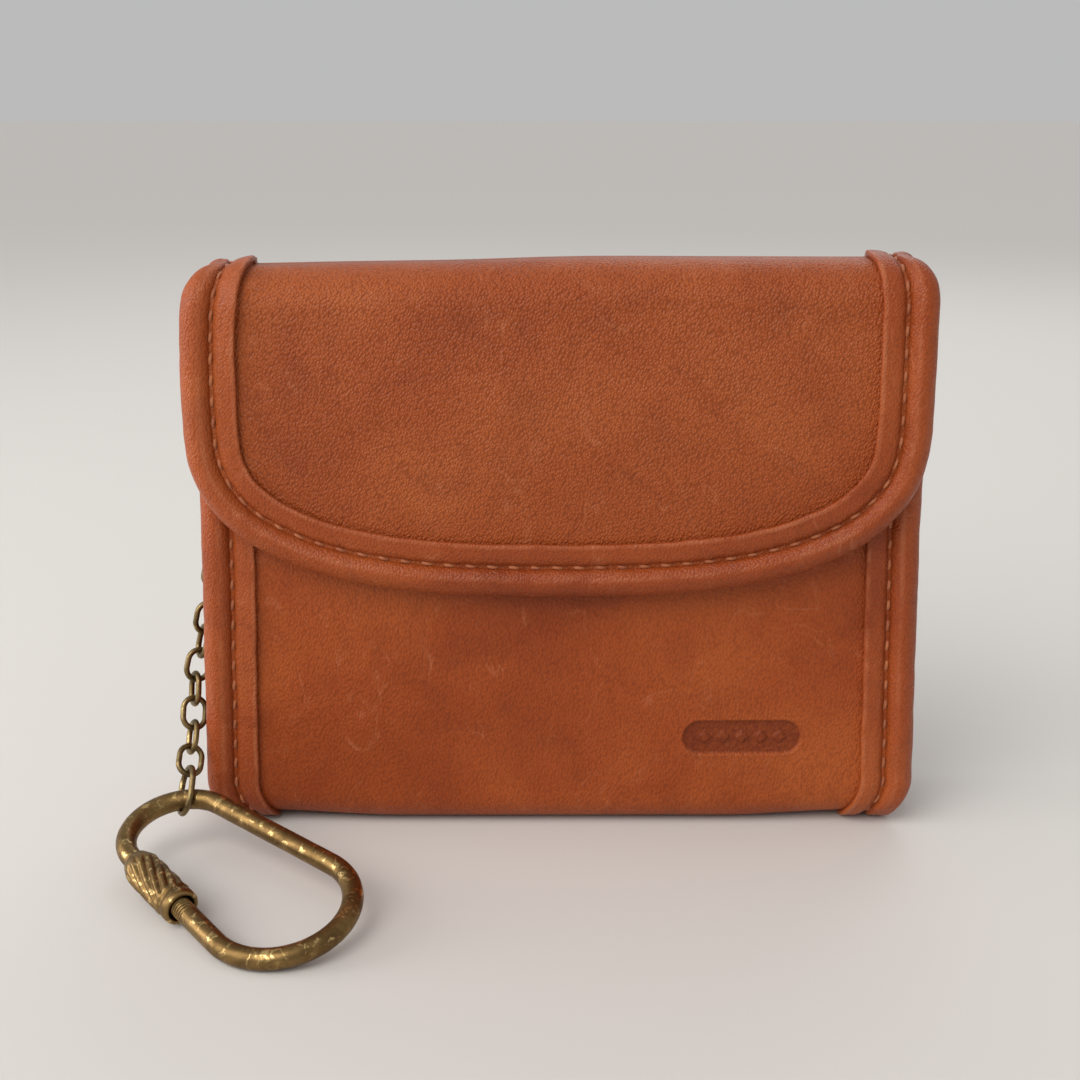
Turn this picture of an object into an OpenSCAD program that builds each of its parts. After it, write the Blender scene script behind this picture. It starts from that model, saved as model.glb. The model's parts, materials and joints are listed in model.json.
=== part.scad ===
// Flap-front leather coin purse with bound edges, a hidden snap, and a screw-lock key ring on a chain.
// Millimetres. +X is to the right of someone facing the flap, the front faces -Y, and +Z is up.
// The origin is the centre of the flat bottom that the purse stands on.

/* [Purse] */
// Width of the purse body over its side bindings
body_w = 112; // [104:0.5:118]
// Width of the flap over its binding
flap_w = 112.5; // [106:0.5:122]
// Height of the top fold above the ground
body_h = 90.5; // [86:0.5:96]
// Depth of the bare body at the bottom
base_d = 18; // [16:0.5:24]
// Depth of the bare body just under the fold
top_d = 11; // [10:0.5:14]
// Height of the lowest point of the flap's curved edge
flap_low = 40; // [36:0.5:42]

/* [Leather] */
// Thickness of the front, back and flap leather
leather = 1.3; // [1:0.1:1.5]
// Thickness of the flap's lining leather
lining = 0.7; // [0.5:0.1:1]
// Width of the binding seen from the front
binding_w = 8.5; // [7:0.5:10]
// Thickness of one ply of binding
binding = 0.8; // [0.6:0.1:1]
// Diameter of the rounded outer bead of the side binding
bead_d = 4.3; // [3.5:0.1:4.5]
// Distance from one stitch to the next
stitch_pitch = 3.3; // [2.5:0.1:4.5]

/* [Plaque] */
// Length of the plain pressed lozenge on the front
plaque_w = 19; // [16:1:26]
// Height of the pressed lozenge
plaque_h = 5.8; // [4:0.2:8]

/* [Chain] */
// Number of plain chain links
link_count = 13; // [9:1:15]
// Diameter of the chain's wire
link_wire = 0.9; // [0.7:0.05:1]
// Outside length of one link
link_len = 5.8; // [5:0.1:7]
// Outside width of one link
link_w = 4.5; // [4:0.1:4.8]

/* [Key ring] */
// Diameter of the key ring's wire
ring_wire = 3.1; // [2.6:0.1:3.2]
// Radius of the ring's small end, to the middle of the wire
ring_r1 = 8; // [7.5:0.1:8.5]
// Radius of the ring's large end, to the middle of the wire
ring_r2 = 10.4; // [10:0.1:11.5]
// Distance between the centres of the ring's two ends
ring_span = 24.5; // [22:0.5:27]
// Outside diameter of the screw sleeve
sleeve_d = 5.6; // [5.2:0.1:5.8]
// Length of the screw sleeve
sleeve_len = 13.5; // [10:0.5:14]

/* [Hidden] */
$fn = 48;
link_names = [for (i = [1:link_count]) str("link_", i < 10 ? "0" : "", i)];

// Body section: two leaning walls over round bottom folds
fold_r = 5;
wall_y = base_d / 2 - fold_r;
wall_top = body_h - 12;
flap_fold_r = 6;
fold_z = body_h - flap_fold_r;
lean = atan((base_d - top_d) / 2 / (fold_z - fold_r));
wall_len = (wall_top - fold_r) / cos(lean);
back_rise = 3.2;
panel_w = body_w - 2 * bead_d;
// Angle left free at the bottom of the front fold, for the front to swing out
fold_open = 18;
// Angle below which the flat of the side binding stops, short of the ground
strip_from = -40;
// Facets to each fold of leather
fold_steps = 14;

// Flap section: back arc, short flat top, front arc and a straight front
snap_room = 2.3;
flap_stack = leather + lining;
flap_back_y = top_d / 2 - flap_fold_r;
flap_front_y = -(top_d / 2 + snap_room + flap_stack) + flap_fold_r;
flap_drop = fold_z - flap_low + binding_w;
flap_mid_z = 68;
flap_power = 2.7;
edge_in = 1.5;
// Radius of the flap's top corners, seen from the front
top_r = 7;

// Snap
snap_z = flap_low + 14;
post_r = 0.95;
stud_r = 2;
washer_r = 3.4;
washer_t = 0.6;
socket_r = 4.6;
cap_r = 3;
cap_skin = 0.45;

// Leathers
tan_leather = [0.66, 0.36, 0.21];
binding_leather = [0.68, 0.35, 0.18];
lining_leather = [0.62, 0.40, 0.26];
thread_tan = [0.78, 0.47, 0.26];
brass = [0.55, 0.44, 0.23];

function unit(v) = v / norm(v);

// Right-angled frame at p: the child's X, Y and Z go along x, y and z
module place(p, x, y, z)
    multmatrix([[x[0], y[0], z[0], p[0]], [x[1], y[1], z[1], p[1]], [x[2], y[2], z[2], p[2]], [0, 0, 0, 1]])
        children();

function dir(a) = [cos(a), sin(a)];
function arc(centre, r, a0, a1) =
    [for (i = [0:fold_steps]) centre + r * dir(a0 + (a1 - a0) * i / fold_steps)];
function reversed(line) = [for (i = [len(line) - 1:-1:0]) line[i]];

// Leather w wide between two lines of [Y, Z] points, its outer and its inner face
module folded(outer, inner, w)
    rotate([90, 0, 90])
        linear_extrude(w, center = true)
            polygon(concat(outer, reversed(inner)));

// Section line of the back wall, r out from its bottom fold: round the fold, then up the wall by h
function wall_line(r, a0, h) =
    let (fold = [wall_y, fold_r])
        concat(arc(fold, r, a0, lean), [fold + r * dir(lean) + h * dir(lean + 90)]);

// The leaning frames of the front and back walls, each about its own bottom fold
module on_front()
    translate([0, -wall_y, fold_r])
        rotate([-lean, 0, 0])
            children();

module to_front()
    mirror([0, 1, 0])
        children();

// ---- Side bindings: a bead down the edge and a flat strip over the panel ----

bead_x = body_w / 2 - bead_d / 2;
bead_r = fold_r + binding - bead_d / 2;
strip_sink = 0.6;
joint_gap = 0.05;
ball = 0.05;
// Room between a pin and its bore, and between faces that only touch
pin_room = 0.05;
touch = 0.02;

// Binding of the back wall's right edge, from angle a0 of the bottom fold up to height h of the wall
module side_binding(a0, h) {
    // the bead, whose lowest point is level with the panel's bottom face
    translate([bead_x, wall_y, fold_r + binding])
        rotate([lean, 0, 0]) {
            translate([0, bead_r, 0])
                cylinder(d = bead_d, h = h);
            rotate([90, 0, 90])
                mirror([0, 1, 0])
                    rotate_extrude(angle = lean - a0)
                        translate([bead_r, 0])
                            circle(d = bead_d);
        }
    // the flat strip, which ends inside the bead
    strip_w = binding_w - bead_d / 2 - strip_sink;
    translate([bead_x - strip_sink - strip_w / 2, 0, 0])
        folded(wall_line(fold_r + binding, strip_from, h), wall_line(fold_r, strip_from, h), strip_w);
}

// Stitches down one side binding
stitch_x = bead_x - bead_d / 2 - 0.4;
stitch_d = 0.7;
stitch_len = stitch_pitch - 0.9;
module side_stitches()
    for (side = [-1, 1], i = [0:floor((wall_len - 3) / stitch_pitch)])
        translate([side * stitch_x, -fold_r - binding, 1.5 + i * stitch_pitch])
            cylinder(d = stitch_d, h = stitch_len, $fn = 16);

// ---- Purse ----

// Section line of the back leather, from the front fold under the bottom and up the back
function back_line(r) = concat([[-wall_y, fold_r - r]], wall_line(r, -90, wall_len + back_rise));

module back_panel() color(tan_leather)
    folded(back_line(fold_r), back_line(fold_r - leather), panel_w);

pocket_t = 0.9;
pocket_from = 4;
pocket_h = wall_len - 22;
pocket_w = panel_w - 8;
module inner_pocket() color(lining_leather)
    to_front()
        on_front()
            translate([-pocket_w / 2, leather + touch - fold_r, pocket_from])
                cube([pocket_w, pocket_t, pocket_h]);

// Height over which the gusset narrows, and half its depth at each end of that height
gusset_z = [8, wall_top - 4];
gusset_low = wall_y + fold_r - leather - 1.6;
gusset_half = [gusset_low, gusset_low - (gusset_z[1] - gusset_z[0]) * tan(lean)];
seam_x = panel_w / 2 - 1;
gusset_fold = 5;

// A gusset folded inward down its middle: two flat leaves that meet in a V
module gusset() color(tan_leather) {
    points = [for (e = [0, 1], ply = [0, 1], s = [-1, 0, 1])
        [seam_x - ply - (s == 0 ? gusset_fold : 0), s * gusset_half[e], gusset_z[e]]];
    // rows of points: 0 outer low, 3 inner low, 6 outer high, 9 inner high
    outer = [for (i = [0, 1]) [i, i + 1, i + 7, i + 6]];
    inner = [for (i = [3, 4]) [i + 1, i, i + 6, i + 7]];
    ends = [[1, 0, 3, 4], [2, 1, 4, 5], [6, 7, 10, 9], [7, 8, 11, 10], [0, 6, 9, 3], [8, 2, 5, 11]];
    quads = concat(outer, inner, ends);
    polyhedron(points, [for (q = quads, half = [[0, 2, 1], [0, 3, 2]]) [for (k = half) q[k]]]);
}

module back_binding() color(binding_leather) {
    side_binding(-90, wall_len + back_rise);
    // along the bottom edge to the front fold, met by a ball that just covers the join
    translate([bead_x, wall_y, bead_d / 2])
        sphere(d = bead_d + 2 * ball);
    translate([bead_x, -wall_y, bead_d / 2])
        rotate([-90, 0, 0])
            cylinder(d = bead_d, h = 2 * wall_y - joint_gap);
}

module back_thread() color(thread_tan)
    to_front()
        on_front()
            side_stitches();

// ---- Front ----

plaque_in = 22.7;
plaque_up = 10.6;
plaque_deep = 0.3;
diamond = 1.5;
diamond_gap = 3;
module plaque() {
    // a pressed lozenge with five small raised diamonds
    difference() {
        union() {
            square([plaque_w - plaque_h, plaque_h], center = true);
            for (s = [-1, 1])
                translate([s * (plaque_w - plaque_h) / 2, 0])
                    circle(d = plaque_h);
        }
        for (i = [-2:2])
            translate([i * diamond_gap, 0])
                rotate(45)
                    square(diamond, center = true);
    }
}

module front_panel() color(tan_leather)
    difference() {
        to_front()
            folded(wall_line(fold_r, fold_open - 90, wall_len),
                wall_line(fold_r - leather, fold_open - 90, wall_len), panel_w);
        on_front() {
            translate([panel_w / 2 - plaque_in, -fold_r + plaque_deep, plaque_up])
                rotate([90, 0, 0])
                    linear_extrude(1)
                        plaque();
            translate([0, -fold_r, snap_z - fold_r])
                rotate([90, 0, 0])
                    cylinder(r = post_r + pin_room, h = 4, center = true);
        }
    }

module front_binding() color(binding_leather)
    to_front()
        side_binding(fold_open - 90, wall_len);

module front_thread() color(thread_tan)
    on_front()
        side_stitches();

module snap_stud() color(brass)
    on_front()
        translate([0, -fold_r, snap_z - fold_r])
            rotate([90, 0, 0])
                rotate_extrude()
                    polygon([[0, -leather - 0.3], [post_r, -leather - 0.3], [post_r, 0], [2.8, 0], [2.8, 0.3],
                        [1.6, 0.4], [1.6, 1.4], [stud_r, 1.8], [1.5, 2.2], [0, 2.3]]);

module stud_washer() color(brass)
    on_front()
        translate([0, -fold_r + leather, snap_z - fold_r])
            rotate([-90, 0, 0])
                difference() {
                    cylinder(r = washer_r, h = washer_t);
                    translate([0, 0, -0.1])
                        cylinder(r = post_r + pin_room, h = washer_t + 0.2);
                }

// ---- Flap ----

// Front outline of the flap, taken in from its edge: a superellipse below, straight sides and round
// top corners above. The open outline has no top corners and runs on over the fold.
module flap_outline(inset, open = false) {
    a = flap_w / 2 - inset;
    b = flap_mid_z - flap_low - inset;
    e = 2 / flap_power;
    top_z = body_h + 1;
    lower = [for (t = [180:4:360])
        [a * sign(cos(t)) * pow(abs(cos(t)), e), flap_mid_z - b * pow(abs(sin(t)), e)]];
    right = [for (t = [0:10:90]) [a - top_r + top_r * cos(t), top_z - top_r + top_r * sin(t)]];
    left = [for (t = [90:10:180]) [-a + top_r + top_r * cos(t), top_z - top_r + top_r * sin(t)]];
    polygon(concat(lower, open ? [[a, body_h + 20], [-a, body_h + 20]] : concat(right, left)));
}

module through_outline(inset)
    rotate([90, 0, 0])
        linear_extrude(60, center = true)
            flap_outline(inset);

module through_band(inset, width)
    rotate([90, 0, 0])
        linear_extrude(60, center = true)
            difference() {
                flap_outline(inset);
                flap_outline(inset + width, true);
            }

// Section line of the flap, r out from its two folds: the back of the fold, over the top, down the front
function flap_line(r) =
    concat(arc([flap_back_y, fold_z], r, 0, 90), arc([flap_front_y, fold_z], r, 90, 180 - lean),
        [[flap_front_y, fold_z] + r * dir(180 - lean) + flap_drop * dir(270 - lean)]);

// One layer of the flap: its outer face is depth below the flap's own outer face
module flap_layer(depth, t)
    folded(flap_line(flap_fold_r - depth), flap_line(flap_fold_r - depth - t), flap_w);

module flap_panel() color(tan_leather)
    difference() {
        intersection() {
            flap_layer(0, leather);
            through_outline(edge_in);
        }
        // a blind pocket for the socket's cap
        on_flap_snap()
            translate([0, 0, cap_skin - leather - pin_room])
                cylinder(r = cap_r + pin_room, h = leather);
    }

module flap_lining() color(lining_leather)
    difference() {
        intersection() {
            flap_layer(leather, lining);
            through_outline(edge_in);
        }
        on_flap_snap()
            cylinder(r = socket_r + pin_room, h = 4, center = true);
    }

// A strip folded over the flap's edge, with a slot for the leather and its lining
module flap_binding() color(binding_leather)
    difference() {
        intersection() {
            flap_layer(-binding, 2 * binding + flap_stack);
            through_band(0, binding_w);
        }
        intersection() {
            flap_layer(0, flap_stack);
            through_outline(edge_in);
        }
    }

// Frame of the snap on the flap: Z points out of the flap's inner leather towards the stud
module on_flap_snap()
    translate([0, flap_front_y, fold_z])
        rotate([-lean, 0, 0])
            translate([0, -flap_fold_r + leather, (snap_z - fold_z) / cos(lean)])
                rotate([-90, 0, 0])
                    children();

module snap_socket() color(brass)
    on_flap_snap()
        rotate_extrude()
            polygon([[0, touch], [socket_r, touch], [socket_r, 0.3], [4.2, 1.3], [3.6, 1.4], [3.2, 1.2],
                [3.2, 0.4], [0, 0.4]]);

module socket_cap() color(brass)
    on_flap_snap()
        translate([0, 0, cap_skin - leather])
            cylinder(r = cap_r, h = leather - cap_skin - touch);

// Points along the flap's stitch line and their distance along it
stitch_in = 4.7;
function edge_point(t) =
    let (a = flap_w / 2 - stitch_in, b = flap_mid_z - flap_low - stitch_in, e = 2 / flap_power)
        [a * sign(cos(t)) * pow(abs(cos(t)), e), flap_mid_z - b * pow(abs(sin(t)), e)];
edge_line = concat([[-flap_w / 2 + stitch_in, fold_z - 2]], [for (t = [180:1:360]) edge_point(t)],
    [[flap_w / 2 - stitch_in, fold_z - 2]]);
edge_run = [for (i = 0, s = 0; i < len(edge_line);
    s = i + 1 < len(edge_line) ? s + norm(edge_line[i + 1] - edge_line[i]) : s, i = i + 1) s];
edge_total = edge_run[len(edge_run) - 1];
edge_x = [for (i = [0:len(edge_line) - 1]) [edge_run[i], edge_line[i][0]]];
edge_z = [for (i = [0:len(edge_line) - 1]) [edge_run[i], edge_line[i][1]]];
function edge_at(s) = [lookup(s, edge_x), lookup(s, edge_z)];

module flap_thread() color(thread_tan)
    for (s = [1:stitch_pitch:edge_total - 1]) {
        p = edge_at(s);
        d = edge_at(s + 0.5) - edge_at(s - 0.5);
        translate([0, flap_front_y, fold_z])
            rotate([-lean, 0, 0])
                translate([p[0], -flap_fold_r - binding, (p[1] - fold_z) / cos(lean)])
                    rotate([0, atan2(d[0], d[1]), 0])
                        cylinder(d = stitch_d, h = stitch_len, center = true, $fn = 16);
    }

// ---- Key ring: a tapered loop of wire, lying on the ground with its small end lifted by the chain ----

ring_yaw = -43.2;
ring_pitch = 6;
ring_roll = 11.6;
ring_at = [-48.1, -32.7, 5.1];
ring_x = [cos(ring_yaw) * cos(ring_pitch), sin(ring_yaw) * cos(ring_pitch), -sin(ring_pitch)];
ring_n = unit([sin(ring_yaw) * sin(ring_roll) + cos(ring_yaw) * sin(ring_pitch) * cos(ring_roll),
    -cos(ring_yaw) * sin(ring_roll) + sin(ring_yaw) * sin(ring_pitch) * cos(ring_roll),
    cos(ring_pitch) * cos(ring_roll)]);
ring_y = cross(ring_n, ring_x);
ring_small = -ring_span / 2 - 1.2;
ring_large = ring_small + ring_span;
ring_taper = asin((ring_r2 - ring_r1) / ring_span);
ring_straight = ring_span * cos(ring_taper);
hook_angle = 139;

module on_ring()
    place(ring_at, ring_x, ring_y, ring_n)
        children();

// Frame at the start of the straight on one side, with Z along the wire towards the large end
module on_straight(side)
    translate([ring_small, 0, 0])
        rotate([0, 0, side * (90 + ring_taper)])
            translate([ring_r1, 0, 0])
                rotate([side * 90, 0, 0])
                    children();

sleeve_start = 1.5;
thread_len = 2.2;
thread_at = sleeve_start + sleeve_len;

// An arc of the wire, stopping just short of the balls that join it to the straights
module wire_arc(x, r, from, angle) {
    short = joint_gap / r * 180 / PI;
    translate([x, 0, 0])
        rotate([0, 0, from + short])
            rotate_extrude(angle = angle - 2 * short)
                translate([r, 0])
                    circle(d = ring_wire);
}

module key_ring() color(brass)
    on_ring() {
        wire_arc(ring_small, ring_r1, 90 + ring_taper, 180 - 2 * ring_taper);
        wire_arc(ring_large, ring_r2, -90 - ring_taper, 180 + 2 * ring_taper);
        for (side = [-1, 1])
            on_straight(side) {
                for (z = [0, ring_straight])
                    translate([0, 0, z])
                        sphere(d = ring_wire + 2 * ball);
            }
        on_straight(1)
            translate([0, 0, joint_gap])
                cylinder(d = ring_wire, h = ring_straight - 2 * joint_gap);
        on_straight(-1) {
            translate([0, 0, joint_gap])
                cylinder(d = ring_wire, h = thread_at - joint_gap);
            // the screw thread: a thinner core with raised turns
            translate([0, 0, thread_at - 0.1])
                cylinder(d = ring_wire - 0.5, h = thread_len + 0.2);
            for (i = [0:3])
                translate([0, 0, thread_at + 0.3 + i * 0.5])
                    cylinder(d = ring_wire, h = 0.25);
            translate([0, 0, thread_at + thread_len])
                cylinder(d = ring_wire, h = ring_straight - thread_at - thread_len - joint_gap);
        }
    }

module lock_sleeve() color(brass)
    on_ring()
        on_straight(-1)
            translate([0, 0, sleeve_start])
                difference() {
                    rotate_extrude()
                        polygon([[ring_wire / 2 + 0.05, 0], [ring_wire / 2 + 0.5, 0],
                            [sleeve_d / 2 - 0.25, 1.1], [sleeve_d / 2, 2.2], [sleeve_d / 2, sleeve_len - 2],
                            [sleeve_d / 2 - 0.3, sleeve_len - 1.8], [sleeve_d / 2 - 0.3, sleeve_len - 1.5],
                            [sleeve_d / 2 - 0.1, sleeve_len - 1.3], [sleeve_d / 2 - 0.1, sleeve_len - 0.3],
                            [sleeve_d / 2 - 0.4, sleeve_len], [ring_wire / 2 + 0.05, sleeve_len]]);
                    // slanting flutes
                    for (a = [0:30:330])
                        rotate([0, 0, a])
                            translate([sleeve_d / 2 + 0.08, 0, sleeve_len / 2 - 1])
                                rotate([18, 0, 0])
                                    cylinder(r = 0.35, h = sleeve_len - 3, center = true, $fn = 16);
                }

// ---- Chain: every link hangs on the wire of the one above, turned a quarter turn from it ----

hook = ring_at + (ring_small + ring_r1 * cos(hook_angle)) * ring_x + ring_r1 * sin(hook_angle) * ring_y;
hook_axis = unit(-sin(hook_angle) * ring_x + cos(hook_angle) * ring_y);
play = 0.1;
link_pitch = link_len - 2 * link_wire - play;
end_len = 8.25;
end_w = 6.2;
end_wire = 0.95;
end_drop = end_len - end_wire * 1.5 - link_wire / 2 - ring_wire / 2 - end_wire / 2 - 2 * play;
face_roll = -30;
edge_roll = 60;

// Lean of link i out of the vertical: forward near the bottom, outward for the upper ones
function lean_fwd(i) = i < 1 ? 0 : 50 * pow(i / link_count, 2.9);
function lean_out(i) = i > link_count - 4 ? 0 : 12;
function down(fwd, out) = unit([-tan(out), -tan(fwd), -1]);
function link_dir(i) = down(lean_fwd(i), lean_out(i));
end_dir = down(46, 0);

// Top contact point of link i, counted up from the end link
function link_top(i) =
    i > link_count ? hook - end_drop * end_dir : link_top(i + 1) - link_pitch * link_dir(i);

function roll_x(dir) = unit(cross(dir, [1, 0, 0]));
function normal(dir, roll) = cos(roll) * roll_x(dir) + sin(roll) * cross(dir, roll_x(dir));
function link_roll(i) = (link_count - i) % 2 == 0 ? face_roll : edge_roll;

// A closed wire loop hung from the origin along +Z, on a wire of diameter over, lying in the XZ plane
module wire_loop(length, width, wire, over) {
    r = (width - wire) / 2;
    top = -(over + wire) / 2 - play;
    straight = length - wire - 2 * r;
    translate([0, 0, top + r])
        rotate([90, 0, 0])
            rotate([0, 0, 180])
                rotate_extrude(angle = 180)
                    translate([r, 0])
                        circle(d = wire, $fn = 24);
    translate([0, 0, top + r + straight])
        rotate([90, 0, 0])
            rotate_extrude(angle = 180)
                translate([r, 0])
                    circle(d = wire, $fn = 24);
    for (s = [-1, 1])
        translate([s * r, 0, top + r])
            cylinder(d = wire, h = straight, $fn = 24);
}

module hang(p, dir, roll) {
    n = normal(dir, roll);
    place(p, cross(n, dir), n, dir)
        children();
}

module chain_link(i) color(brass)
    hang(link_top(i), link_dir(i), link_roll(i))
        wire_loop(link_len, link_w, link_wire, link_wire);

module end_link() color(brass)
    hang(link_top(link_count + 1), end_dir, edge_roll)
        wire_loop(end_len, end_w, end_wire, link_wire);

// ---- Anchor of the chain ----

jump_r = 2.4;
jump_dir = link_dir(1);
jump_roll = link_roll(0);
jump_top = link_top(1) - 2 * jump_r * jump_dir;

module jump_ring() color(brass)
    hang(jump_top, jump_dir, jump_roll)
        translate([0, 0, jump_r])
            rotate([90, 0, 0])
                rotate_extrude()
                    translate([jump_r, 0])
                        circle(d = link_wire, $fn = 24);

tab_t = 1.6;
// A short doubled leather tongue from the gusset's inward fold, with a hole for the jump ring
module chain_tab() color(binding_leather)
    hang(jump_top, [0, 0, -1], jump_roll)
        rotate([0, 90, 0])
            difference() {
                translate([-2.2, -7.4, -tab_t / 2])
                    cube([5, 9.6, tab_t]);
                cylinder(r = 1, h = 4, center = true, $fn = 32);
            }

back_panel();
inner_pocket();
mirror([1, 0, 0]) gusset();  // gusset_left
gusset();  // gusset_right
mirror([1, 0, 0]) back_binding();  // back_binding_left
back_binding();  // back_binding_right
back_thread();
chain_tab();
front_panel();
mirror([1, 0, 0]) front_binding();  // front_binding_left
front_binding();  // front_binding_right
front_thread();
snap_stud();
stud_washer();
flap_panel();
flap_lining();
flap_binding();
flap_thread();
snap_socket();
socket_cap();
jump_ring();
for (i = [1:link_count])
    chain_link(i);
end_link();
key_ring();
lock_sleeve();
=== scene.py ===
"""Looks of a flap-front leather coin purse with a screw-lock key ring on a chain.

Lengths are millimetres until a mesh is made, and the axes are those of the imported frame:
+X to the right of someone facing the flap, the front faces -Y, and +Z is up.
"""
import json
import math

import bpy
import numpy as np
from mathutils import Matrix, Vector, noise


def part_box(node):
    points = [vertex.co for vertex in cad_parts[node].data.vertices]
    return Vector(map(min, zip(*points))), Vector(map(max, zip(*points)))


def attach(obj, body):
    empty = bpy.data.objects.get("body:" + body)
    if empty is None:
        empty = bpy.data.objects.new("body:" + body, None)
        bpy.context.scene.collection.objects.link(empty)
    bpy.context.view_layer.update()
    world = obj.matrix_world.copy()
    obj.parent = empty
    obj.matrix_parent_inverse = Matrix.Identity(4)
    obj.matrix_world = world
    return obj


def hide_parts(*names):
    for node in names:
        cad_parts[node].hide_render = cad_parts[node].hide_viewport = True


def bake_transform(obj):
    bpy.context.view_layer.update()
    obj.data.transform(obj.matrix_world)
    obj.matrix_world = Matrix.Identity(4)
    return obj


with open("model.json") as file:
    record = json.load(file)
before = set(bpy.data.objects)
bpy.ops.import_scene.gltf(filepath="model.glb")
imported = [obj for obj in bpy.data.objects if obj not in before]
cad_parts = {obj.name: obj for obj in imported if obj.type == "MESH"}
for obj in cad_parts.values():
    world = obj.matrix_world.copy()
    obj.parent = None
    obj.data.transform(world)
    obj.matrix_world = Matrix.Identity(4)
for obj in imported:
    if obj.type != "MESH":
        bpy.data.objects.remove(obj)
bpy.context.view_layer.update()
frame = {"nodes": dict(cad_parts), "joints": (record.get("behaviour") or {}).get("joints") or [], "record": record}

MM = 0.001
JOINTS = {joint["name"]: joint for joint in frame["joints"]}
MOUNTS = {mount["name"]: mount for mount in frame["record"]["mounts"]}


def low(node):
    return np.array(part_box(node)[0]) / MM


def high(node):
    return np.array(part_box(node)[1]) / MM


# ---- Driving sizes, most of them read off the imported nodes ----

BODY_HALF = high("back_binding_right")[0]
FLAP_HALF = high("flap_binding")[0] - 0.4
FLAP_SHIFT = -0.5
FLAP_LOW = low("flap_binding")[2]
BINDING = 0.8
LEATHER = 1.3
LINING = 0.7
TOP = high("flap_binding")[2] - BINDING
FOLD_R = 5.0
WALL_Y = high("back_panel")[1] - FOLD_R
FLAP_FOLD_R = 6.0
FOLD_Z = TOP - FLAP_FOLD_R
TOP_HALF_DEPTH = 5.5
SNAP_ROOM = 2.3
FLAP_BACK_Y = TOP_HALF_DEPTH - FLAP_FOLD_R
FLAP_FRONT_Y = FLAP_FOLD_R - TOP_HALF_DEPTH - SNAP_ROOM - LEATHER - LINING
LEAN = math.degrees(math.atan((WALL_Y + FOLD_R - TOP_HALF_DEPTH) / (FOLD_Z - FOLD_R)))
WALL_TOP = high("front_panel")[2]
FLAP_MID_Z = 68.0
FLAP_POWER = 2.7
PITCH = 3.3
STITCH_IN = 4.75
STITCH_LENGTH = 2.1
THREAD_R = 0.28
THREAD_UP = 0.12


# ---- Camera ----

def look_at(obj, target):
    obj.rotation_euler = (Vector(target) - obj.location).to_track_quat("-Z", "Y").to_euler()


def make_camera():
    target = np.array([-3.16, -11.0, 49.2])
    distance = 230.0
    elevation = math.radians(17.0)
    data = bpy.data.cameras.new("camera")
    data.lens = 50.6
    data.clip_start = 0.005
    data.clip_end = 20.0
    camera = bpy.data.objects.new("camera", data)
    bpy.context.scene.collection.objects.link(camera)
    back = np.array([0, -math.cos(elevation), math.sin(elevation)])
    camera.location = Vector((target + distance * back) * MM)
    look_at(camera, target * MM)
    bpy.context.scene.camera = camera


make_camera()


# ---- Meshes ----

def make_mesh(name, points, faces, material, smooth=True):
    mesh = bpy.data.meshes.new(name)
    mesh.from_pydata([tuple(p) for p in np.asarray(points, float) * MM], [], faces)
    mesh.validate()
    if smooth:
        mesh.polygons.foreach_set("use_smooth", [True] * len(mesh.polygons))
    mesh.materials.append(material)
    mesh.update()
    obj = bpy.data.objects.new(name, mesh)
    bpy.context.scene.collection.objects.link(obj)
    return obj


def grid_faces(rows, columns, start=0, wrap=False, flip=False):
    faces = []
    for i in range(rows - 1):
        for j in range(columns if wrap else columns - 1):
            k = (j + 1) % columns
            quad = (start + i * columns + j, start + i * columns + k,
                    start + (i + 1) * columns + k, start + (i + 1) * columns + j)
            faces.append(quad[::-1] if flip else quad)
    return faces


def shell(name, us, vs, outer, inner, material):
    """A closed sheet between two surfaces, each a function of u and v."""
    rows, columns = len(us), len(vs)
    points = [outer(u, v) for u in us for v in vs] + [inner(u, v) for u in us for v in vs]
    count = rows * columns
    faces = grid_faces(rows, columns) + grid_faces(rows, columns, start=count, flip=True)
    rim = [j for j in range(columns)] + [i * columns + columns - 1 for i in range(1, rows)]
    rim += [(rows - 1) * columns + j for j in range(columns - 2, -1, -1)]
    rim += [i * columns for i in range(rows - 2, 0, -1)]
    for a, b in zip(rim, rim[1:] + rim[:1]):
        faces.append((b, a, a + count, b + count))
    return make_mesh(name, points, faces, material)


def sweep(name, rings, material, closed=False):
    """A tube through rings of points, capped at both ends unless it is closed."""
    columns = len(rings[0])
    points = [p for ring in rings for p in ring]
    faces = grid_faces(len(rings), columns, wrap=True)
    if closed:
        last = (len(rings) - 1) * columns
        for j in range(columns):
            k = (j + 1) % columns
            faces.append((last + j, last + k, k, j))
    else:
        faces.append(tuple(range(columns))[::-1])
        faces.append(tuple((len(rings) - 1) * columns + j for j in range(columns)))
    return make_mesh(name, points, faces, material)


def join(name, pieces):
    """One object from several, in the order given."""
    points, faces = [], []
    for obj in pieces:
        start = len(points)
        points += [v.co / MM for v in obj.data.vertices]
        faces += [tuple(start + i for i in p.vertices) for p in obj.data.polygons]
    material = pieces[0].data.materials[0]
    for obj in pieces:
        bpy.data.objects.remove(obj)
    return make_mesh(name, points, faces, material)


def unit(v):
    return np.asarray(v, float) / np.linalg.norm(v)


def direction(degrees):
    return np.array([math.cos(math.radians(degrees)), math.sin(math.radians(degrees))])


def bump(x, y, z, size, seed=0.0):
    return noise.noise(Vector((x / size + seed, y / size - seed, z / size + 2 * seed)))


def step(a, b, x):
    t = min(1.0, max(0.0, (x - a) / (b - a)))
    return t * t * (3 - 2 * t)


# ---- Section lines in the YZ plane ----

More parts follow.
